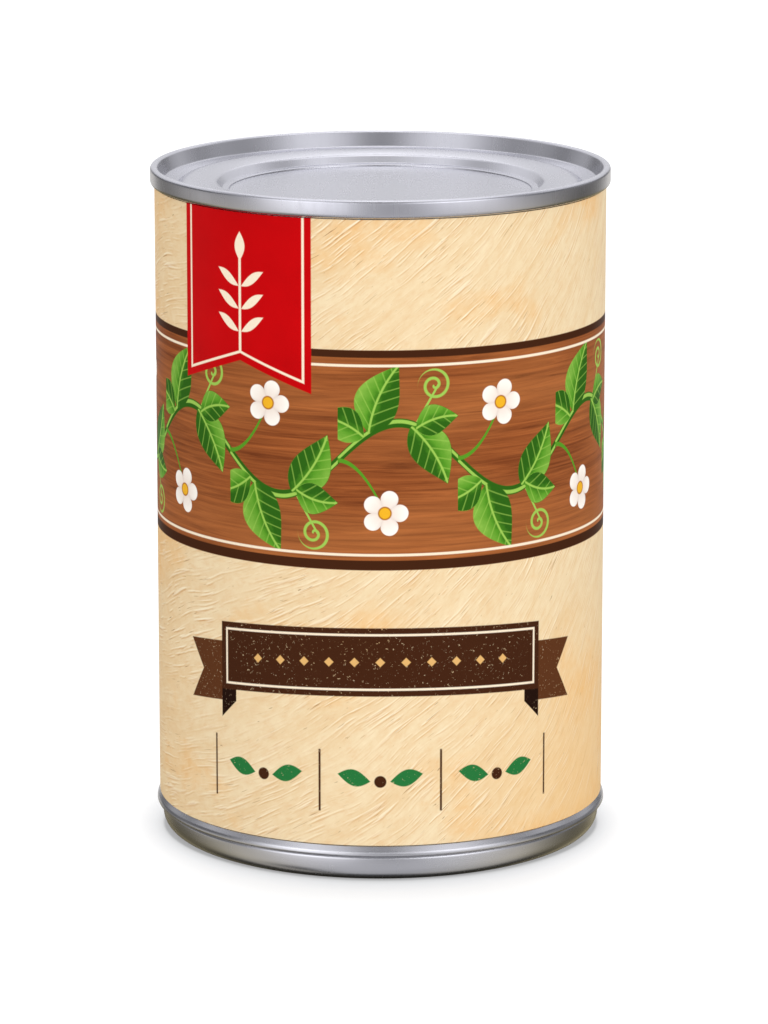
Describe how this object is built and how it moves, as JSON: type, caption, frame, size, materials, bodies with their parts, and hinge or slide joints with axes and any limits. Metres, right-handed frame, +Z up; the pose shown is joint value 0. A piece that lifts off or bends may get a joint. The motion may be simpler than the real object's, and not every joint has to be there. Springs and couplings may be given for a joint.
{
  "type": "food can",
  "caption": "Sealed round steel can with a rolled top seam, a sunk ringed end, a plain paper label and a stepped base that stacks into the end of a can below.",
  "frame": {"origin": "middle of the base, in the plane that the foot stands on", "axes": "+Z up along the can's axis, +X and +Y across it; the label's lap is on the +Y side"},
  "size_m": [0.0762, 0.0762, 0.1127],
  "materials": {
    "body_steel": "bright rolled tinplate with a soft sheen",
    "end_steel": "satin rolled tinplate with fine grain",
    "label_paper": "coated paper printed with pale wood grain and plain coloured shapes",
    "packed_beans": "hidden fill, wet and olive green"
  },
  "bodies": {
    "root": {"can_body": "body_steel", "can_end": "end_steel", "paper_label": "label_paper", "contents": "packed_beans"}
  },
  "joints": []
}
